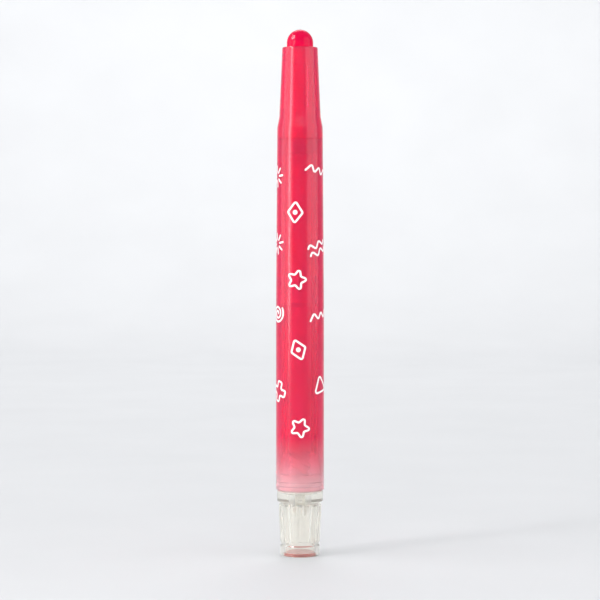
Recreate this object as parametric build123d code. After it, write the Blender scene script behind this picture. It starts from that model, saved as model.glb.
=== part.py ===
# Twist crayon: a wax stick in a two-piece coloured sleeve. A ribbed clear knob at the tail
# turns a left-hand screw spindle, and a keyed carrier on that spindle drives the stick out
# of the nose. Axis along Z, tip up, origin at the centre of the knob's flat foot.
from build123d import *
import math
import os

os.makedirs("parts", exist_ok=True)

# ---- driving dimensions, millimetres -------------------------------------------------
TIP_Z = 131.3            # top of the wax tip at rest
STICK_R = 3.3            # wax stick radius, hemispherical tip
STICK_Z0 = 64.7          # tail of the wax stick

BARREL_Z0, BARREL_Z1 = 16.5, 104.2
BARREL_R_TAIL = 6.0      # cylindrical grip length
BARREL_R_FRONT = 5.7     # slight draft towards the nose
BARREL_CYL_Z1 = 62.0     # end of the cylindrical length
BORE_R = 4.7
RIB_N, RIB_W, RIB_R = 4, 1.0, 4.15       # key ribs inside the barrel
RIB_Z0, RIB_Z1 = 25.4, 99.8
TAIL_BORE_R, TAIL_BORE_Z1 = 5.35, 20.8    # wider bore for the knob's neck, so a thinner wall
BORE_Z0 = 25.0           # the wider bore tapers into the main bore up to here

NOSE_SPIGOT_Z0 = 100.4
NOSE_SPIGOT_R = 4.64
NOSE_RING_Z1 = 107.0     # shoulder ring, then a short flare into the cone
NOSE_CONE_Z0, NOSE_CONE_R0 = 109.6, 5.15
NOSE_Z1, NOSE_R1 = 126.9, 4.4
MOUTH_R, MOUTH_LAND, MOUTH_TAPER = 3.45, 3.3, 2.2
NOSE_RIB_N, NOSE_RIB_W, NOSE_RIB_R = 8, 0.7, 3.43
NOSE_RIB_Z0 = 111.5

LEAD = 5.0               # carrier travel per turn of the knob
TRAVEL_IN, TRAVEL_OUT = 5.0, 30.0
CORE_R, THREAD_R = 1.95, 2.65
THREAD_Z0, THREAD_Z1 = 20.2, 57.4
RIDGE_TIP_DEG, RIDGE_ROOT_DEG = 56.0, 80.0   # two starts

CUP_Z0, CUP_Z1, CUP_R = 63.5, 70.0, 4.5
TUBE_R, TUBE_BORE = 3.6, 2.9
NUT_Z0, NUT_Z1 = 26.2, 30.0
LUG_R, LUG_DEG, LUG_Z0, LUG_H = 2.1, 70.0, 26.8, 1.1

FOOT_R = 4.95
KNOB_TOP = 16.35
COLLAR_R = 5.75
NECK_R, NECK_BORE_R, NECK_Z1 = 5.28, 4.6, 20.4
KNOB_RIB_N, KNOB_RIB_R = 16, 0.5
PLUG_R, PLUG_SEAT_Z = 4.05, 0.9


# ---- helpers --------------------------------------------------------------------------
def outline(points):
    """Closed outline from (x, y) or (x, y, corner radius) points."""
    pts = [(p[0], p[1], p[2] if len(p) > 2 else 0.0) for p in points]
    n = len(pts)
    starts, ends, mids = [], [], []
    for i in range(n):
        ax, ay, _ = pts[i - 1]
        px, py, r = pts[i]
        bx, by, _ = pts[(i + 1) % n]
        la, lb = math.hypot(px - ax, py - ay), math.hypot(bx - px, by - py)
        d1 = ((px - ax) / la, (py - ay) / la)
        d2 = ((bx - px) / lb, (by - py) / lb)
        turn = math.acos(max(-1, min(1, d1[0] * d2[0] + d1[1] * d2[1])))
        if r <= 0 or turn < 1e-6:
            starts.append((px, py))
            ends.append((px, py))
            mids.append(None)
            continue
        t = r * math.tan(turn / 2)
        ux, uy = d2[0] - d1[0], d2[1] - d1[1]
        k = math.hypot(ux, uy)
        ux, uy = ux / k, uy / k
        g = r / math.cos(turn / 2) - r
        starts.append((px - d1[0] * t, py - d1[1] * t))
        ends.append((px + d2[0] * t, py + d2[1] * t))
        mids.append((px + ux * g, py + uy * g))
    edges = []
    for i in range(n):
        j = (i + 1) % n
        if mids[i] is not None:
            edges.append(ThreePointArc(starts[i], mids[i], ends[i]))
        if math.dist(ends[i], starts[j]) > 1e-7:
            edges.append(Line(ends[i], starts[j]))
    return make_face(edges)


def turned(points):
    """Solid of revolution about Z from (radius, height[, corner radius]) points."""
    return revolve(Plane.XZ * outline(points), Axis.Z)


def spokes(n, width, r0, r1, z0, z1, first=0.0):
    """n radial bars round Z."""
    bar = Pos((r0 + r1) / 2, 0, (z0 + z1) / 2) * Box(r1 - r0, width, z1 - z0)
    return [Rot(0, 0, first + 360 / n * k) * bar for k in range(n)]


def twisted(face, z0, height):
    """Left-hand twisted prism: the section turns -360 degrees for each LEAD of height."""
    s = Solid.extrude_linear_with_rotation(
        face.face(), (0, 0, 0), (0, 0, height), -360.0 * height / LEAD
    )
    return Pos(0, 0, z0) * s


def polar(r, deg):
    return (r * math.cos(math.radians(deg)), r * math.sin(math.radians(deg)))


def one(shape):
    """The single solid of a shape."""
    got = shape.solids()
    assert len(got) == 1, len(got)
    return got[0]


def save(shape, name):
    s = one(shape)
    assert s.is_valid, name
    export_step(s, f"parts/{name}.step")
    print(f"{name:16s} {s.volume:9.1f} mm3")
    return s


# ---- wax stick: straight cylinder with a hemispherical tip -----------------------------
shoulder = TIP_Z - STICK_R
stick_face = make_face(
    [
        Line((0, STICK_Z0), (STICK_R - 0.3, STICK_Z0)),
        Line((STICK_R - 0.3, STICK_Z0), (STICK_R, STICK_Z0 + 0.3)),
        Line((STICK_R, STICK_Z0 + 0.3), (STICK_R, shoulder)),
        ThreePointArc(
            (STICK_R, shoulder),
            (STICK_R * math.sin(math.pi / 4), shoulder + STICK_R * math.cos(math.pi / 4)),
            (0, TIP_Z),
        ),
        Line((0, TIP_Z), (0, STICK_Z0)),
    ]
)
save(revolve(Plane.XZ * stick_face, Axis.Z), "wax_stick")

# ---- nose cone: tapered front sleeve with a shoulder ring and a snap spigot ------------
nose = turned(
    [
        (4.0, NOSE_SPIGOT_Z0, 0.1),
        (NOSE_SPIGOT_R - 0.12, NOSE_SPIGOT_Z0, 0.1),
        (NOSE_SPIGOT_R, NOSE_SPIGOT_Z0 + 0.6),
        (NOSE_SPIGOT_R, 101.6),
        (4.9, 101.85, 0.1),
        (4.9, 102.1, 0.1),
        (NOSE_SPIGOT_R, 102.4),
        (NOSE_SPIGOT_R, BARREL_Z1),
        (BARREL_R_FRONT, BARREL_Z1, 0.12),
        (BARREL_R_FRONT - 0.04, NOSE_RING_Z1, 0.8),
        (NOSE_CONE_R0, NOSE_CONE_Z0, 2.5),
        (NOSE_R1, NOSE_Z1, 0.3),
        (MOUTH_R, NOSE_Z1, 0.2),
        (MOUTH_R, NOSE_Z1 - MOUTH_LAND),
        (3.73, NOSE_Z1 - MOUTH_LAND - MOUTH_TAPER),
        (4.0, 107.0),
    ]
)
for bar in spokes(NOSE_RIB_N, NOSE_RIB_W, NOSE_RIB_R, 4.2, NOSE_RIB_Z0, NOSE_Z1 - MOUTH_LAND + 0.1, 22.5):
    nose += bar
save(nose, "nose_cone")

# ---- barrel: drafted sleeve, key ribs inside, a snap groove at each end ----------------
barrel = turned(
    [
        (TAIL_BORE_R + 0.15, BARREL_Z0),
        (BARREL_R_TAIL, BARREL_Z0, 0.3),
        (BARREL_R_TAIL, BARREL_CYL_Z1),
        (BARREL_R_FRONT, BARREL_Z1, 0.12),
        (BORE_R, BARREL_Z1),
        (BORE_R, 102.6),
        (4.98, 102.35),
        (4.98, 101.55),
        (BORE_R, 101.3),
        (BORE_R, BORE_Z0),
        (TAIL_BORE_R, TAIL_BORE_Z1),
        (TAIL_BORE_R, 18.75),
        (5.57, 18.5),
        (5.57, 17.7),
        (TAIL_BORE_R, 17.45),
        (TAIL_BORE_R, 16.8),
    ]
)
for bar in spokes(RIB_N, RIB_W, RIB_R, 5.0, RIB_Z0, RIB_Z1, 45.0):
    barrel += bar
save(barrel, "barrel")

# ---- screw spindle: two-start left-hand screw, seat flange, hex stem with a snap head --
ridge = []
for side in (0.0, 180.0):
    ridge.append((side - RIDGE_ROOT_DEG / 2, side - RIDGE_TIP_DEG / 2, side + RIDGE_TIP_DEG / 2, side + RIDGE_ROOT_DEG / 2))
section = []
for k, (a, b, c, d) in enumerate(ridge):
    section.append(Line(polar(CORE_R, a), polar(THREAD_R, b)))
    section.append(ThreePointArc(polar(THREAD_R, b), polar(THREAD_R, (b + c) / 2), polar(THREAD_R, c)))
    section.append(Line(polar(THREAD_R, c), polar(CORE_R, d)))
    nxt = ridge[(k + 1) % 2][0] + (360.0 if k == 1 else 0.0)
    section.append(ThreePointArc(polar(CORE_R, d), polar(CORE_R, (d + nxt) / 2), polar(CORE_R, nxt)))
screw = twisted(make_face(section), THREAD_Z0, THREAD_Z1 - THREAD_Z0)
base = turned(
    [
        (0, 15.6),
        (3.5, 15.6, 0.15),
        (3.5, 17.0, 0.15),
        (CORE_R - 0.05, 17.0, 0.5),
        (CORE_R - 0.05, THREAD_Z0 + 0.4),
        (0, THREAD_Z0 + 0.4),
    ]
)
tip = turned(
    [
        (0, THREAD_Z1 - 0.4),
        (CORE_R - 0.05, THREAD_Z1 - 0.4),
        (CORE_R - 0.05, THREAD_Z1 + 0.2),
        (1.4, THREAD_Z1 + 0.7),
        (0, THREAD_Z1 + 0.7),
    ]
)
stem = Pos(0, 0, 12.5) * extrude(RegularPolygon(1.6, 6, major_radius=False), 3.2)
head = turned([(0, 10.2), (1.25, 10.2, 0.2), (1.98, 12.2, 0.15), (1.98, 12.65), (0, 12.65)])
spindle = screw + base + tip + stem + head
spindle -= Pos(0, 0, 12.0) * Box(0.8, 6.0, 4.4)      # slit that lets the snap legs close
save(spindle, "screw_spindle")

# ---- stick carrier: keyed cup, push tube and a two-lug nut -----------------------------
carrier = turned(
    [
        (0, CUP_Z0),
        (0, STICK_Z0),
        (STICK_R + 0.04, STICK_Z0),
        (STICK_R + 0.04, CUP_Z1 - 0.4),
        (STICK_R + 0.3, CUP_Z1),
        (CUP_R, CUP_Z1, 0.25),
        (CUP_R, CUP_Z0, 0.25),
        (TUBE_R, CUP_Z0 - 1.2),
        (TUBE_R, NUT_Z1 + 0.8),
        (CUP_R, NUT_Z1, 0.15),
        (CUP_R, NUT_Z0, 0.25),
        (TUBE_BORE + 0.3, NUT_Z0),
        (TUBE_BORE, NUT_Z0 + 0.4),
        (TUBE_BORE, CUP_Z0),
    ]
)
for z0, z1 in ((NUT_Z0 - 1, NUT_Z1 + 1.2), (CUP_Z0 - 1.6, CUP_Z1 + 1)):
    for bar in spokes(RIB_N, RIB_W + 0.4, 3.95, 6.0, z0, z1, 45.0):
        carrier -= bar
for bar in spokes(4, 0.6, 3.0, 6.0, 66.2, CUP_Z1 + 1, 0.0):
    carrier -= bar
phase = -360.0 * (LUG_Z0 - THREAD_Z0) / LEAD + 90.0
for side in (0.0, 180.0):
    m = phase + side
    a, b = m - LUG_DEG / 2, m + LUG_DEG / 2
    sector = make_face(
        [
            Line(polar(LUG_R, a), polar(3.2, a)),
            ThreePointArc(polar(3.2, a), polar(3.2, m), polar(3.2, b)),
            Line(polar(3.2, b), polar(LUG_R, b)),
            ThreePointArc(polar(LUG_R, b), polar(LUG_R, m), polar(LUG_R, a)),
        ]
    )
    carrier += twisted(sector, LUG_Z0, LUG_H)
save(carrier, "stick_carrier")

# ---- twist knob: clear, hollow, ribbed grip, collar and a snap neck --------------------
knob = turned(
    [
        (PLUG_R + 0.05, 0),
        (FOOT_R, 0, 0.4),
        (FOOT_R, 2.6, 0.25),
        (4.68, 2.85, 0.12),
        (4.74, 3.3, 0.15),
        (5.02, 12.9, 0.2),
        (4.85, 13.2, 0.12),
        (COLLAR_R, 13.7, 0.35),
        (COLLAR_R, KNOB_TOP, 0.3),
        (NECK_R, KNOB_TOP, 0.1),
        (NECK_R, 17.65),
        (5.5, 17.9, 0.1),
        (5.5, 18.2, 0.1),
        (NECK_R, 18.5),
        (NECK_R, NECK_Z1 - 0.6),
        (NECK_R - 0.2, NECK_Z1, 0.1),
        (NECK_BORE_R, NECK_Z1, 0.1),
        (NECK_BORE_R, 17.4, 0.4),
        (3.6, 17.4, 0.15),
        (3.6, 15.55),
        (1.0, 15.55),
        (1.0, 12.75),
        (3.7, 12.75, 0.5),
        (3.7, PLUG_SEAT_Z),
        (PLUG_R + 0.05, PLUG_SEAT_Z),
    ]
)
knob -= Pos(0, 0, 12) * extrude(RegularPolygon(1.66, 6, major_radius=False), 5)
lean = math.atan2(0.35, 8.6)
for k in range(KNOB_RIB_N):
    length = math.hypot(0.35, 8.6)
    rib = (
        Cylinder(KNOB_RIB_R, length, align=(Align.CENTER, Align.CENTER, Align.MIN))
        + Sphere(KNOB_RIB_R)
        + Pos(0, 0, length) * Sphere(KNOB_RIB_R)
    )
    rib = Rot(0, 0, 360 / KNOB_RIB_N * (k + 0.5)) * (
        Pos(4.55, 0, 3.85) * (Rot(0, math.degrees(lean), 0) * rib)
    )
    knob += rib
save(knob, "twist_knob")

# ---- tail plug: coloured closing disc in the knob's foot -------------------------------
plug = turned(
    [
        (0, 0.4),
        (2.7, 0.4, 0.05),
        (2.85, 0.25, 0.05),
        (PLUG_R, 0.25, 0.1),
        (PLUG_R, PLUG_SEAT_Z - 0.05, 0.1),
        (0, PLUG_SEAT_Z - 0.05),
    ]
)
save(plug, "tail_plug")
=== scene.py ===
import math

import bmesh
import bpy
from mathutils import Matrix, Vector


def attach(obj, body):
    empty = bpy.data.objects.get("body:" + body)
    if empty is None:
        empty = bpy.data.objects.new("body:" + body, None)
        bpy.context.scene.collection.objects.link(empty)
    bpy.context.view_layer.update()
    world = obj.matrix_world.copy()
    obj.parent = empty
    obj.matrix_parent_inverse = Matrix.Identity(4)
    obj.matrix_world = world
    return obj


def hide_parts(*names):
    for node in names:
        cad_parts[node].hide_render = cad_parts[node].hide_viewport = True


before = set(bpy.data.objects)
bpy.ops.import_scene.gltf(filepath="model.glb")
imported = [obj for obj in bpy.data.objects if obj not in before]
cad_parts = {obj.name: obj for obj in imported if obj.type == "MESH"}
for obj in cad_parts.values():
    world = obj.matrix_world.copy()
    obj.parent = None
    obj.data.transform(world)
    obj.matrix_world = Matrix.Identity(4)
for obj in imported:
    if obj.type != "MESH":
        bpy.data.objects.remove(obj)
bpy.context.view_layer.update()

MM = 0.001
scene = bpy.context.scene

# ---- sizes, millimetres, the same as the construction ----------------------------------
TIP_Z, STICK_R, STICK_Z0 = 131.3, 3.3, 64.7
BARREL_Z0, BARREL_Z1 = 16.5, 104.2
BARREL_R, BARREL_RF, BARREL_CYL_Z1 = 6.0, 5.7, 62.0
BORE_R = 4.7
RIB_R, RIB_Z0, RIB_Z1 = 4.15, 25.4, 99.8
TAIL_BORE_R, TAIL_BORE_Z1, BORE_Z0 = 5.35, 20.8, 25.0
NOSE_Z0, NOSE_Z1, NOSE_R1 = 100.4, 126.9, 4.4
NOSE_RING_Z1, NOSE_CONE_Z0, NOSE_CONE_R0 = 107.0, 109.6, 5.15
SPIGOT_R, MOUTH_R, LAND, TAPER = 4.64, 3.45, 3.3, 2.2
NOSE_RIB_R, NOSE_RIB_Z0 = 3.43, 111.5
FOOT_R, COLLAR_R, KNOB_TOP = 4.95, 5.75, 16.35
NECK_R, NECK_BORE_R, NECK_Z1 = 5.28, 4.6, 20.4
PLUG_R, PLUG_SEAT_Z = 4.05, 0.9


# ---- mesh helpers ----------------------------------------------------------------------
def expand(points, step=12.0):
    """Outline from (r, z[, corner radius[, flag]]) points, each corner rounded by an arc."""
    pts = [(p[0], p[1], p[2] if len(p) > 2 else 0.0, p[3] if len(p) > 3 else "") for p in points]
    n = len(pts)
    out = []
    for i in range(n):
        ax, ay = pts[i - 1][:2]
        px, py, r, flag = pts[i]
        bx, by = pts[(i + 1) % n][:2]
        la, lb = math.hypot(px - ax, py - ay), math.hypot(bx - px, by - py)
        d1 = ((px - ax) / la, (py - ay) / la) if la > 1e-9 else (0, 0)
        d2 = ((bx - px) / lb, (by - py) / lb) if lb > 1e-9 else (0, 0)
        turn = math.acos(max(-1, min(1, d1[0] * d2[0] + d1[1] * d2[1])))
        if r <= 0 or turn < 1e-4:
            out.append((px, py, flag))
            continue
        t = r * math.tan(turn / 2)
        ux, uy = d2[0] - d1[0], d2[1] - d1[1]
        k = math.hypot(ux, uy)
        cx, cy = px + ux / k * r / math.cos(turn / 2), py + uy / k * r / math.cos(turn / 2)
        sx, sy = px - d1[0] * t - cx, py - d1[1] * t - cy
        cross = d1[0] * d2[1] - d1[1] * d2[0]
        m = max(2, int(math.degrees(turn) / step + 0.999))
        for s in range(m + 1):
            a = turn * s / m * (1 if cross > 0 else -1)
            out.append((cx + sx * math.cos(a) - sy * math.sin(a), cy + sx * math.sin(a) + sy * math.cos(a), flag))
    return out


def finish_mesh(name, bm, sharp=38.0):
    bmesh.ops.recalc_face_normals(bm, faces=bm.faces)
    me = bpy.data.meshes.new(name)
    bm.to_mesh(me)
    bm.free()
    for p in me.polygons:
        p.use_smooth = True
    me.set_sharp_from_angle(angle=math.radians(sharp))
    ob = bpy.data.objects.new(name, me)
    scene.collection.objects.link(ob)
    return ob


def ring_body(name, rows, cols, shape=None, sharp=38.0):
    """Closed tube-like body: rows go round its section, cols round its axis (degrees)."""
    bm = bmesh.new()
    grid = []
    for r, z, flag in rows:
        line = []
        for th in cols:
            rr, zz, tt = (r, z, th) if shape is None else shape(r, z, th, flag)
            a = math.radians(tt)
            line.append(bm.verts.new((rr * math.cos(a) * MM, rr * math.sin(a) * MM, zz * MM)))
        grid.append(line)
    n, m = len(grid), len(cols)
    for i in range(n):
        for j in range(m):
            a, b = grid[i], grid[(i + 1) % n]
            k = (j + 1) % m
            bm.faces.new((a[j], a[k], b[k], b[j]))
    return finish_mesh(name, bm, sharp)


def pole_body(name, rows, cols, sharp=38.0):
    """Closed body whose outline starts and ends on the axis."""
    bm = bmesh.new()
    first = bm.verts.new((0, 0, rows[0][1] * MM))
    last = bm.verts.new((0, 0, rows[-1][1] * MM))
    grid = []
    for row in rows[1:-1]:
        grid.append([
            bm.verts.new((row[0] * math.cos(math.radians(t)) * MM, row[0] * math.sin(math.radians(t)) * MM, row[1] * MM))
            for t in cols
        ])
    m = len(cols)
    for j in range(m):
        k = (j + 1) % m
        bm.faces.new((first, grid[0][k], grid[0][j]))
        bm.faces.new((last, grid[-1][j], grid[-1][k]))
        for a, b in zip(grid, grid[1:]):
            bm.faces.new((a[j], a[k], b[k], b[j]))
    return finish_mesh(name, bm, sharp)


def even(n, first=0.0):
    return [first + 360.0 * k / n for k in range(n)]


def with_ribs(base, angles, offsets):
    """Even columns, cleared near each rib and replaced there by the rib's own columns."""
    reach = max(offsets) + 1.2
    out = []
    for t in base:
        if all(abs((t - a + 180) % 360 - 180) > reach for a in angles):
            out.append(t % 360)
    for a in angles:
        for o in offsets:
            out += [(a + o) % 360, (a - o) % 360] if o else [a % 360]
    return sorted(out)


def nearest(th, angles):
    return min(abs((th - a + 180) % 360 - 180) for a in angles)


# ---- materials -------------------------------------------------------------------------
def new_material(name):
    mat = bpy.data.materials.new(name)
    mat.use_nodes = True
    nt = mat.node_tree
    nt.nodes.clear()
    out = nt.nodes.new("ShaderNodeOutputMaterial")
    bsdf = nt.nodes.new("ShaderNodeBsdfPrincipled")
    nt.links.new(bsdf.outputs["BSDF"], out.inputs["Surface"])
    return mat, nt, bsdf, out


def node(nt, kind, **settings):
    n = nt.nodes.new(kind)
    for k, v in settings.items():
        if hasattr(n, k):
            setattr(n, k, v)
        else:
            n.inputs[k].default_value = v
    return n


def noise(nt, scale, detail=3.0, rough=0.5, stretch=(1, 1, 1), offset=(0, 0, 0)):
    """Noise in object space; scale is features per millimetre."""
    tc = nt.nodes.new("ShaderNodeTexCoord")
    mp = nt.nodes.new("ShaderNodeMapping")
    mp.inputs["Scale"].default_value = [1000 * scale * s for s in stretch]
    mp.inputs["Location"].default_value = offset
    nt.links.new(tc.outputs["Object"], mp.inputs["Vector"])
    nz = nt.nodes.new("ShaderNodeTexNoise")
    nz.inputs["Scale"].default_value = 1.0
    nz.inputs["Detail"].default_value = detail
    nz.inputs["Roughness"].default_value = rough
    nt.links.new(mp.outputs["Vector"], nz.inputs["Vector"])
    return nz.outputs["Fac"]


def ramp(nt, fac, stops):
    r = nt.nodes.new("ShaderNodeValToRGB")
    el = r.color_ramp.elements
    el[0].position, el[0].color = stops[0][0], (*stops[0][1], 1)
    el[1].position, el[1].color = stops[-1][0], (*stops[-1][1], 1)
    for pos, col in stops[1:-1]:
        e = el.new(pos)
        e.color = (*col, 1)
    nt.links.new(fac, r.inputs["Fac"])
    return r.outputs["Color"]


def span(nt, fac, low, high, a=0.3, b=0.7):
    m = nt.nodes.new("ShaderNodeMapRange")
    m.inputs["From Min"].default_value = a
    m.inputs["From Max"].default_value = b
    m.inputs["To Min"].default_value = low
    m.inputs["To Max"].default_value = high
    nt.links.new(fac, m.inputs["Value"])
    return m.outputs["Result"]


def bump(nt, bsdf, height, strength, distance_mm, before=None):
    b = nt.nodes.new("ShaderNodeBump")
    b.inputs["Strength"].default_value = strength
    b.inputs["Distance"].default_value = distance_mm * MM
    nt.links.new(height, b.inputs["Height"])
    if before is not None:
        nt.links.new(before, b.inputs["Normal"])
    nt.links.new(b.outputs["Normal"], bsdf.inputs["Normal"])
    return b.outputs["Normal"]


def absorb(nt, out, colour, per_mm):
    v = nt.nodes.new("ShaderNodeVolumeAbsorption")
    v.inputs["Color"].default_value = (*colour, 1)
    v.inputs["Density"].default_value = per_mm * 1000
    nt.links.new(v.outputs["Volume"], out.inputs["Volume"])


def set_in(bsdf, **values):
    for k, v in values.items():
        bsdf.inputs[k.replace("_", " ")].default_value = v


# translucent rose polypropylene of the sleeve and nose, slightly hazy; its base colour is painted paler at the
# thin-walled tail, as painted light for the light passing through where no wax sits behind it
rose, nt, b, out = new_material("rose_translucent")
tc = nt.nodes.new("ShaderNodeTexCoord")
axes = nt.nodes.new("ShaderNodeSeparateXYZ")
nt.links.new(tc.outputs["Object"], axes.inputs["Vector"])
# painted light: below 30 mm the base colour fades to a pale pink, standing in for light coming through the tail
tail_painted_light = span(nt, axes.outputs["Z"], 0.0, 1.0, 0.0185, 0.0300)
deep = ramp(nt, noise(nt, 0.35, 2.0, stretch=(1, 1, 0.25)), [(0.3, (0.97, 0.028, 0.190)), (0.7, (0.99, 0.038, 0.216))])
mix = nt.nodes.new("ShaderNodeMix")
mix.data_type = "RGBA"
mix.inputs["A"].default_value = (0.99, 0.77, 0.80, 1)
nt.links.new(tail_painted_light, mix.inputs["Factor"])
nt.links.new(deep, mix.inputs["B"])
nt.links.new(mix.outputs["Result"], b.inputs["Base Color"])
nt.links.new(span(nt, noise(nt, 1.6, 3.0), 0.14, 0.22), b.inputs["Roughness"])
b.inputs["IOR"].default_value = 1.46
haze = node(nt, "ShaderNodeMath", operation="ADD")
nt.links.new(span(nt, noise(nt, 0.5, 2.0, stretch=(1, 1, 0.3)), 0.77, 0.82), haze.inputs[0])
nt.links.new(span(nt, axes.outputs["Z"], -0.02, 0.0, 0.0190, 0.0260), haze.inputs[1])
nt.links.new(haze.outputs["Value"], b.inputs["Transmission Weight"])
bump(nt, b, noise(nt, 0.4, 2.0, stretch=(1, 1, 0.1)), 0.07, 0.02)
absorb(nt, out, (0.99, 0.30, 0.45), 0.50)

# clear polystyrene of the knob, clearest at its foot and frosted on its neck
clear, nt, b, out = new_material("clear_styrene")
nt.links.new(ramp(nt, noise(nt, 0.3, 2.0), [(0.3, (0.98, 0.965, 0.915)), (0.7, (0.99, 0.98, 0.94))]), b.inputs["Base Color"])
nt.links.new(span(nt, noise(nt, 2.2, 3.0), 0.02, 0.07), b.inputs["Roughness"])
b.inputs["IOR"].default_value = 1.50
tc = nt.nodes.new("ShaderNodeTexCoord")
axes = nt.nodes.new("ShaderNodeSeparateXYZ")
nt.links.new(tc.outputs["Object"], axes.inputs["Vector"])
haze = node(nt, "ShaderNodeMath", operation="ADD")
nt.links.new(span(nt, axes.outputs["Z"], 0.82, 0.12, 0.0160, 0.0168), haze.inputs[0])
nt.links.new(span(nt, axes.outputs["Z"], 0.13, 0.0, 0.0022, 0.0036), haze.inputs[1])
nt.links.new(haze.outputs["Value"], b.inputs["Transmission Weight"])
bump(nt, b, noise(nt, 0.6, 2.0), 0.15, 0.02)
absorb(nt, out, (0.97, 0.955, 0.87), 0.06)

# natural white plastic of the spindle and the carrier
natural, nt, b, out = new_material("natural_white")
nt.links.new(ramp(nt, noise(nt, 0.25, 3.0), [(0.3, (0.86, 0.84, 0.80)), (0.7, (0.91, 0.895, 0.86))]), b.inputs["Base Color"])
nt.links.new(span(nt, noise(nt, 1.2, 3.0), 0.32, 0.46), b.inputs["Roughness"])
b.inputs["Subsurface Weight"].default_value = 0.35
b.inputs["Subsurface Radius"].default_value = (1.0, 0.9, 0.75)
b.inputs["Subsurface Scale"].default_value = 0.001
bump(nt, b, noise(nt, 3.0, 3.0), 0.2, 0.02)

# pale rose translucent plug; its colour is painted light, standing in for the rose light piped down the clear knob and
# seen at its bottom rim
plug_piped_light_mat, nt, b, out = new_material("plug_painted_piped_light")
nt.links.new(ramp(nt, noise(nt, 0.4, 3.0), [(0.3, (0.93, 0.17, 0.14)), (0.7, (0.95, 0.22, 0.19))]), b.inputs["Base Color"])
nt.links.new(span(nt, noise(nt, 1.5, 3.0), 0.14, 0.26), b.inputs["Roughness"])
b.inputs["IOR"].default_value = 1.49
b.inputs["Transmission Weight"].default_value = 0.5
bump(nt, b, noise(nt, 0.8, 2.0), 0.15, 0.02)
absorb(nt, out, (0.97, 0.36, 0.36), 2.2)

# wax, its tip painted darker as painted shade
wax, nt, b, out = new_material("wax_rose_red")
tc = nt.nodes.new("ShaderNodeTexCoord")
axes = nt.nodes.new("ShaderNodeSeparateXYZ")
nt.links.new(tc.outputs["Object"], axes.inputs["Vector"])
grain = noise(nt, 0.55, 4.0, 0.6)
body = ramp(nt, grain, [(0.28, (0.78, 0.002, 0.060)), (0.5, (0.82, 0.003, 0.066)), (0.72, (0.86, 0.004, 0.072))])
# painted shade: the stick's tip is coloured darker than its body to tone down the stronger light on the bare tip; set
# in object space so it moves with the stick
shaded_tip = ramp(nt, grain, [(0.28, (0.57, 0.001, 0.043)), (0.5, (0.61, 0.001, 0.048)), (0.72, (0.65, 0.002, 0.053))])
mix = nt.nodes.new("ShaderNodeMix")
mix.data_type = "RGBA"
nt.links.new(span(nt, axes.outputs["Z"], 0.0, 1.0, 0.1255, 0.1285), mix.inputs["Factor"])
nt.links.new(body, mix.inputs["A"])
nt.links.new(shaded_tip, mix.inputs["B"])
tone = mix.outputs["Result"]
nt.links.new(tone, b.inputs["Base Color"])
nt.links.new(span(nt, noise(nt, 2.4, 4.0, 0.6), 0.06, 0.11), b.inputs["Roughness"])
b.inputs["IOR"].default_value = 1.44
b.inputs["Specular IOR Level"].default_value = 0.15
b.inputs["Subsurface Weight"].default_value = 0.2
b.inputs["Subsurface Radius"].default_value = (1.0, 0.16, 0.22)
b.inputs["Subsurface Scale"].default_value = 0.0012
n1 = bump(nt, b, noise(nt, 0.9, 3.0, stretch=(1, 1, 0.06)), 0.3, 0.02)
bump(nt, b, noise(nt, 4.0, 3.0), 0.2, 0.01, n1)

# white printing ink
ink, nt, b, out = new_material("white_ink")
nt.links.new(ramp(nt, noise(nt, 1.5, 4.0, 0.65), [(0.25, (0.80, 0.78, 0.78)), (0.6, (0.90, 0.89, 0.89))]), b.inputs["Base Color"])
nt.links.new(span(nt, noise(nt, 5.0, 2.0), 0.34, 0.5), b.inputs["Roughness"])
bump(nt, b, noise(nt, 6.0, 2.0), 0.25, 0.01)

# ---- wax stick -------------------------------------------------------------------------
rows = [(0.0, STICK_Z0, ""), (STICK_R - 0.3, STICK_Z0, ""), (STICK_R, STICK_Z0 + 0.3, "")]
for k in range(1, 24):
    rows.append((STICK_R, STICK_Z0 + 0.3 + (TIP_Z - STICK_R - STICK_Z0 - 0.3) * k / 24, ""))
for k in range(0, 24):
    a = math.pi / 2 * k / 24
    rows.append((STICK_R * math.cos(a), TIP_Z - STICK_R + STICK_R * math.sin(a), ""))
rows.append((0.0, TIP_Z, ""))
stick = pole_body("wax_stick_look", rows, even(128))

# ---- nose cone -------------------------------------------------------------------------
NOSE_RIBS = [22.5 + 45.0 * k for k in range(8)]
gap = 0.01
rows = expand([
    (4.0, NOSE_Z0, 0.1),
    (SPIGOT_R - 0.12, NOSE_Z0, 0.1),
    (SPIGOT_R, NOSE_Z0 + 0.6),
    (SPIGOT_R, BARREL_Z1 + gap, 0.05),
    (BARREL_RF, BARREL_Z1 + gap, 0.06),
    (BARREL_RF - 0.04, NOSE_RING_Z1, 0.8),
    (NOSE_CONE_R0, NOSE_CONE_Z0, 2.5),
    (NOSE_CONE_R0 + (NOSE_R1 - NOSE_CONE_R0) * 0.33, NOSE_CONE_Z0 + (NOSE_Z1 - NOSE_CONE_Z0) * 0.33),
    (NOSE_CONE_R0 + (NOSE_R1 - NOSE_CONE_R0) * 0.66, NOSE_CONE_Z0 + (NOSE_Z1 - NOSE_CONE_Z0) * 0.66),
    (NOSE_R1, NOSE_Z1, 0.3),
    (MOUTH_R, NOSE_Z1, 0.2),
    (MOUTH_R, NOSE_Z1 - LAND, 6.0),
    (3.73, NOSE_Z1 - LAND - TAPER, 6.0, "rib"),
    (3.82, 116.5, 0, "rib"),
    (3.90, NOSE_RIB_Z0 + 0.9, 0, "rib"),
    (3.915, NOSE_RIB_Z0),
    (4.0, 107.0, 1.0),
], 9.0)


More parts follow.
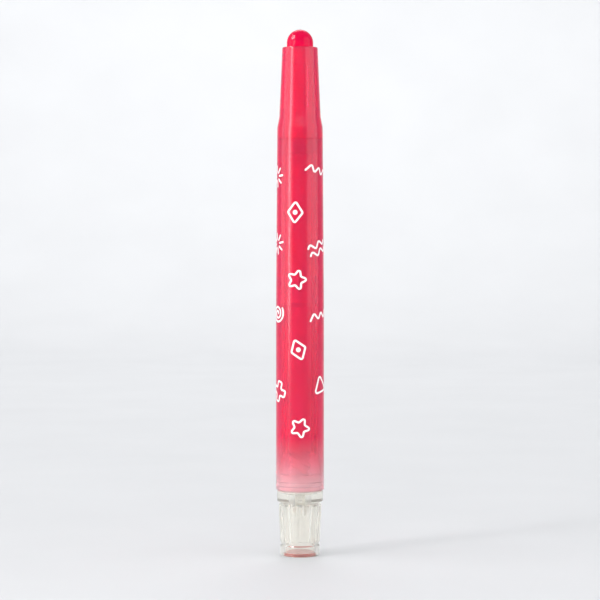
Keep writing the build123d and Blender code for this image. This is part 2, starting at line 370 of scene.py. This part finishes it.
def nose_shape(r, z, th, flag):
    if flag == "rib":
        d = nearest(th, NOSE_RIBS)
        if d < 5.7:
            r = NOSE_RIB_R / math.cos(math.radians(d))
    return r, z, th


nose = ring_body("nose_cone_look", rows, with_ribs(even(144), NOSE_RIBS, [0.0, 3.0, 5.6, 6.5]), nose_shape)

# ---- barrel ----------------------------------------------------------------------------
RIBS = [45.0 + 90.0 * k for k in range(4)]
rows = expand([
    (TAIL_BORE_R + 0.15, BARREL_Z0, 0.08),
    (BARREL_R, BARREL_Z0, 0.3),
    (BARREL_R, 30.0),
    (BARREL_R, 46.0),
    (BARREL_R, BARREL_CYL_Z1, 60.0),
    (BARREL_R + (BARREL_RF - BARREL_R) * 0.5, (BARREL_CYL_Z1 + BARREL_Z1) / 2),
    (BARREL_RF, BARREL_Z1 - gap, 0.06),
    (BORE_R, BARREL_Z1 - gap, 0.05),
    (BORE_R, RIB_Z1 + 0.1),
    (BORE_R, RIB_Z1 - 1.0, 0, "rib"),
    (BORE_R, 80.0, 0, "rib"),
    (BORE_R, 60.0, 0, "rib"),
    (BORE_R, 40.0, 0, "rib"),
    (BORE_R, RIB_Z0 + 1.0, 0, "rib"),
    (BORE_R, RIB_Z0 - 0.1),
    (BORE_R, BORE_Z0, 2.0),
    (TAIL_BORE_R, TAIL_BORE_Z1, 2.0),
    (TAIL_BORE_R, 18.75),
    (5.57, 18.5, 0.06),
    (5.57, 17.7, 0.06),
    (TAIL_BORE_R, 17.45),
    (TAIL_BORE_R, 16.8, 0.1),
], 9.0)


def barrel_shape(r, z, th, flag):
    if flag == "rib":
        d = nearest(th, RIBS)
        if d < 6.5:
            r = RIB_R / math.cos(math.radians(d))
    return r, z, th


barrel = ring_body("barrel_look", rows, with_ribs(even(160), RIBS, [0.0, 3.5, 6.3, 7.3]), barrel_shape)

# ---- twist knob ------------------------------------------------------------------------
N_RIB = 16
KNOB_RIBS = [360.0 / N_RIB * (k + 0.5) for k in range(N_RIB)]


def root_r(z):
    return 4.74 + (5.02 - 4.74) * (z - 3.3) / 9.6


pts = [
    (PLUG_R + 0.05, 0, 0.06),
    (FOOT_R, 0, 0.4),
    (FOOT_R, 2.6, 0.25),
    (4.68, 2.85, 0.12),
]
zs = [3.3, 3.36, 3.42, 3.5, 3.6, 3.75, 3.95, 4.4, 5.2, 6.4, 8.0, 9.6, 10.8, 11.6, 12.1, 12.35, 12.5, 12.62, 12.72, 12.8, 12.86, 12.9]
pts += [(root_r(z), z, 0, "grip") for z in zs]
pts += [
    (4.85, 13.2, 0.12),
    (COLLAR_R, 13.7, 0.35),
    (COLLAR_R, KNOB_TOP, 0.3),
    (NECK_R, KNOB_TOP, 0.1),
    (NECK_R, 17.65),
    (5.5, 17.9, 0.1),
    (5.5, 18.2, 0.1),
    (NECK_R, 18.5),
    (NECK_R, NECK_Z1 - 0.6),
    (NECK_R - 0.2, NECK_Z1, 0.1),
    (NECK_BORE_R, NECK_Z1, 0.1),
    (NECK_BORE_R, 17.4, 0.4),
    (3.6, 17.4, 0.15),
    (3.6, 15.55, 0.15),
    (1.66, 15.55, 0, "hex"),
    (1.66, 12.75, 0, "hex"),
    (3.7, 12.75, 0.5),
    (3.7, PLUG_SEAT_Z),
    (PLUG_R + 0.05, PLUG_SEAT_Z),
]
rows = expand(pts, 10.0)


def knob_shape(r, z, th, flag):
    if flag == "grip":
        d = math.radians(nearest(th, KNOB_RIBS))
        t = (z - 3.85) / 8.6
        rc = 4.55 + 0.35 * min(1, max(0, t))
        over = max(0.0, 3.85 - z, z - 12.45)
        disc = (rc * math.cos(d)) ** 2 - rc * rc + 0.25 - over * over
        bump_r = rc * math.cos(d) + math.sqrt(disc) if disc > 0 else 0.0
        k = 0.06
        h = max(0.0, min(1.0, 0.5 + 0.5 * (bump_r - r) / k))
        r = r + (bump_r - r) * h + k * h * (1 - h)
    elif flag == "hex":
        r = r / math.cos(math.radians(th % 60.0 - 30.0))
    return r, z, th


knob = ring_body("twist_knob_look", rows, even(320), knob_shape, 32.0)

# ---- tail plug -------------------------------------------------------------------------
rows = expand([
    (0.0, 0.4),
    (2.7, 0.4, 0.05),
    (2.85, 0.25, 0.05),
    (PLUG_R, 0.25, 0.1),
    (PLUG_R, PLUG_SEAT_Z - 0.05, 0.1),
    (0.0, PLUG_SEAT_Z - 0.05),
], 10.0)
plug = pole_body("tail_plug_look", rows, even(128))

# ---- white line print on the barrel: common small shapes, staggered round it -----------
LINE, LIFT, SINK = 0.5, 0.015, 0.03


def skin_r(z):
    """Radius of the barrel's outside at a height."""
    t = max(0.0, (z - BARREL_CYL_Z1) / (BARREL_Z1 - BARREL_CYL_Z1))
    return BARREL_R + (BARREL_RF - BARREL_R) * t


def round_path(points, r, closed):
    """Path with its corners rounded and its runs cut into short steps."""
    n = len(points)
    pts = expand([(x, y, r if closed or 0 < i < n - 1 else 0.0) for i, (x, y) in enumerate(points)], 18.0)
    pts = [(x, y) for x, y, _ in pts]
    out = []
    for i in range(len(pts) if closed else len(pts) - 1):
        (ax, ay), (bx, by) = pts[i], pts[(i + 1) % len(pts)]
        m = max(1, math.ceil(math.hypot(bx - ax, by - ay) / 0.4))
        out += [(ax + (bx - ax) * k / m, ay + (by - ay) * k / m) for k in range(m)]
    return out if closed else out + [pts[-1]]


def star_points(n, r1, r2):
    return [((r1 if k % 2 == 0 else r2) * math.sin(math.pi * k / n), (r1 if k % 2 == 0 else r2) * math.cos(math.pi * k / n)) for k in range(2 * n)]


def line(points, closed=False, r=0.4):
    return ("line", round_path(points, r, closed), closed)


def dot(x, y, r):
    return ("dot", (x, y), r)


def wave(y, n=2.0, half=2.9, high=0.6):
    return ("line", [(-half + 2 * half * k / 48, y + high * math.sin(2 * math.pi * n * k / 48)) for k in range(49)], False)


def coil(turns=2.1, r0=0.35, r1=2.4):
    m = 72
    return ("line", [((r0 + (r1 - r0) * k / m) * math.cos(2 * math.pi * turns * k / m), (r0 + (r1 - r0) * k / m) * math.sin(2 * math.pi * turns * k / m)) for k in range(m + 1)], False)


PLUS = [(-0.8, 2.5), (0.8, 2.5), (0.8, 0.8), (2.5, 0.8), (2.5, -0.8), (0.8, -0.8), (0.8, -2.5), (-0.8, -2.5), (-0.8, -0.8), (-2.5, -0.8), (-2.5, 0.8), (-0.8, 0.8)]
MOTIFS = {
    "zigzag": [line([(-3.1, -0.9), (-1.85, 0.9), (-0.6, -0.9), (0.65, 0.9), (1.9, -0.9), (3.1, 0.9)])],
    "waves": [wave(0.95), wave(-0.95)],
    "star": [line(star_points(5, 2.9, 1.35), True)],
    "triangle": [line([(-2.5, -1.7), (2.5, -1.7), (0.0, 2.5)], True, 0.5)],
    "plus": [line(PLUS, True)],
    "diamond": [line([(-1.9, 0), (0, -2.7), (1.9, 0), (0, 2.7)], True), dot(0, 0, 0.6)],
    "coil": [coil()],
    "burst": [line([(1.15 * math.cos(a), 1.15 * math.sin(a)), (2.5 * math.cos(a), 2.5 * math.sin(a))]) for a in (math.pi / 4 * k for k in range(8))],
    "dots": [dot(0, 1.3, 0.6), dot(-1.2, -0.8, 0.6), dot(1.2, -0.8, 0.6)],
}
LAYOUT = [
    ("star", "zigzag", "coil"),
    ("triangle", "dots", "plus"),
    ("waves", "burst", "diamond"),
    ("plus", "coil", "zigzag"),
    ("dots", "star", "triangle"),
    ("burst", "waves", "star"),
    ("diamond", "triangle", "dots"),
    ("zigzag", "plus", "burst"),
]


def raised(bm, flat, faces, loops, place):
    """Thin closed body from a flat outline laid on the barrel."""
    top = [bm.verts.new(place(x, y, LIFT)) for x, y in flat]
    low = [bm.verts.new(place(x, y, -SINK)) for x, y in flat]
    for f in faces:
        bm.faces.new([top[i] for i in f])
        bm.faces.new([low[i] for i in reversed(f)])
    for loop in loops:
        for i, j in zip(loop, loop[1:] + loop[:1]):
            bm.faces.new((top[j], top[i], low[i], low[j]))


def draw(bm, mark, place):
    if mark[0] == "dot":
        (x, y), r = mark[1:]
        n = 24
        flat = [(x, y)] + [(x + r * math.cos(2 * math.pi * k / n), y + r * math.sin(2 * math.pi * k / n)) for k in range(n)]
        raised(bm, flat, [(0, 1 + k, 1 + (k + 1) % n) for k in range(n)], [list(range(1, n + 1))], place)
        return
    path, closed = mark[1:]
    n, h = len(path), LINE / 2
    left, right = [], []
    for i, (x, y) in enumerate(path):
        ax, ay = path[i - 1] if closed or i else path[0]
        bx, by = path[(i + 1) % n] if closed or i < n - 1 else path[-1]
        d = math.hypot(bx - ax, by - ay)
        nx, ny = -(by - ay) / d, (bx - ax) / d
        left.append((x + nx * h, y + ny * h))
        right.append((x - nx * h, y - ny * h))
    flat = left + right
    if closed:
        faces = [(i, (i + 1) % n, n + (i + 1) % n, n + i) for i in range(n)]
        raised(bm, flat, faces, [list(range(n)), list(range(2 * n - 1, n - 1, -1))], place)
        return
    faces = [(i, i + 1, n + i + 1, n + i) for i in range(n - 1)]
    caps = []
    for k, (a, c) in ((0, (n, 0)), (n - 1, (n - 1, 2 * n - 1))):
        x, y = path[k]
        a0 = math.atan2(flat[a][1] - y, flat[a][0] - x)
        arc = []
        for q in range(1, 6):
            t = a0 - math.pi * q / 6
            arc.append(len(flat))
            flat.append((x + h * math.cos(t), y + h * math.sin(t)))
        faces.append((a, *arc, c))
        caps.append(arc)
    loop = [*caps[0], *range(0, n), *caps[1], *range(2 * n - 1, n - 1, -1)]
    raised(bm, flat, faces, [loop], place)


bm = bmesh.new()
for row, names in enumerate(LAYOUT):
    for col, name in enumerate(names):
        z0 = 33.4 + 8.9 * row + (-0.9, 0.7, 0.2)[(col + row) % 3]
        a0 = math.radians(270.0 + 120.0 * col + 58.0 * row)
        turn = math.radians((row * 37 + col * 61) % 50 - 25)

        def place(x, y, h, z0=z0, a0=a0, turn=turn):
            u = x * math.cos(turn) - y * math.sin(turn)
            z = z0 + x * math.sin(turn) + y * math.cos(turn)
            r = skin_r(z) + h
            a = a0 + u / skin_r(z0)
            return (r * math.cos(a) * MM, r * math.sin(a) * MM, z * MM)

        for mark in MOTIFS[name]:
            draw(bm, mark, place)
marks = finish_mesh("barrel_print", bm, 50.0)
marks.data.materials.append(ink)
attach(marks, "barrel")

# ---- finish on the pieces --------------------------------------------------------------
for ob, mat, body, replaced, slot in (
    (stick, wax, "stick", "wax_stick", "wax"),
    (nose, rose, "barrel", "nose_cone", "rose_plastic"),
    (barrel, rose, "barrel", "barrel", "rose_plastic"),
    (knob, clear, "knob", "twist_knob", "clear_plastic"),
    (plug, plug_piped_light_mat, "knob", "tail_plug", "plug_plastic"),
):
    ob.data.materials.clear()
    ob.data.materials.append(mat)
    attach(ob, body)
    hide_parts(replaced)
for name, mat in (("screw_spindle", natural), ("stick_carrier", natural)):
    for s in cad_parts[name].material_slots:
        s.material = mat

# ---- stage: pale seamless floor, soft studio light, camera -----------------------------
bm = bmesh.new()
sweep = [(-0.85, 0.0), (0.75, 0.0)]
for k in range(1, 17):
    a = math.pi / 2 * k / 16
    sweep.append((0.75 + 0.35 * math.sin(a), 0.35 - 0.35 * math.cos(a)))
sweep.append((1.10, 1.6))
line_a = [bm.verts.new((-0.95, y, z)) for y, z in sweep]
line_b = [bm.verts.new((0.95, y, z)) for y, z in sweep]
for i in range(len(sweep) - 1):
    bm.faces.new((line_a[i], line_b[i], line_b[i + 1], line_a[i + 1]))
floor = finish_mesh("floor", bm, 60.0)
pale, nt, b, out = new_material("pale_floor")
nt.links.new(ramp(nt, noise(nt, 0.02, 2.0), [(0.3, (0.635, 0.64, 0.65)), (0.7, (0.655, 0.66, 0.67))]), b.inputs["Base Color"])
b.inputs["Roughness"].default_value = 0.6
floor.data.materials.append(pale)

world = bpy.data.worlds.new("studio")
scene.world = world
world.use_nodes = True
bg = world.node_tree.nodes["Background"]
bg.inputs["Color"].default_value = (0.95, 0.97, 1.0, 1)
bg.inputs["Strength"].default_value = 0.55


def area(name, place, aim, size, power, colour=(1, 1, 1)):
    light = bpy.data.lights.new(name, "AREA")
    light.shape = "RECTANGLE"
    light.size, light.size_y = size
    light.energy = power
    light.color = colour
    ob = bpy.data.objects.new(name, light)
    scene.collection.objects.link(ob)
    ob.location = place
    ob.rotation_euler = (Vector(aim) - Vector(place)).to_track_quat("-Z", "Y").to_euler()
    return ob


area("strip_left", (-0.956, -0.292, 0.51), (0, 0, 0.51), (1.30, 1.0), 8.0)
area("streak_left", (-0.728, -0.529, 0.46), (0, 0, 0.46), (0.157, 0.9), 2.9)
area("strip_right", (0.914, -0.407, 0.51), (0, 0, 0.51), (1.20, 1.0), 7.0)
key = area("key", (-0.118, -0.026, 0.232), (0, 0, 0.128), (0.080, 0.080), 0.50)
key.visible_diffuse = False
front = area("front", (0.0, -0.95, 0.62), (0, 0, 0.07), (1.0, 0.5), 4.0)
front.visible_glossy = False
area("back", (0.0, 0.70, 0.85), (0, 0.98, 0.10), (0.7, 0.5), 3.3)

cam_data = bpy.data.cameras.new("camera")
cam = bpy.data.objects.new("camera", cam_data)
scene.collection.objects.link(cam)
cam_data.sensor_width = 36.0
cam_data.lens = 137.0
cam.location = (0.0, -0.57, 0.0865)
cam.rotation_euler = (Vector((0, 0, 0.0640)) - cam.location).to_track_quat("-Z", "Y").to_euler()
scene.camera = cam

scene.view_settings.view_transform = "Standard"
scene.view_settings.look = "None"
scene.cycles.use_denoising = True
scene.cycles.max_bounces = 24
scene.cycles.transmission_bounces = 20
scene.cycles.glossy_bounces = 8
scene.cycles.diffuse_bounces = 6
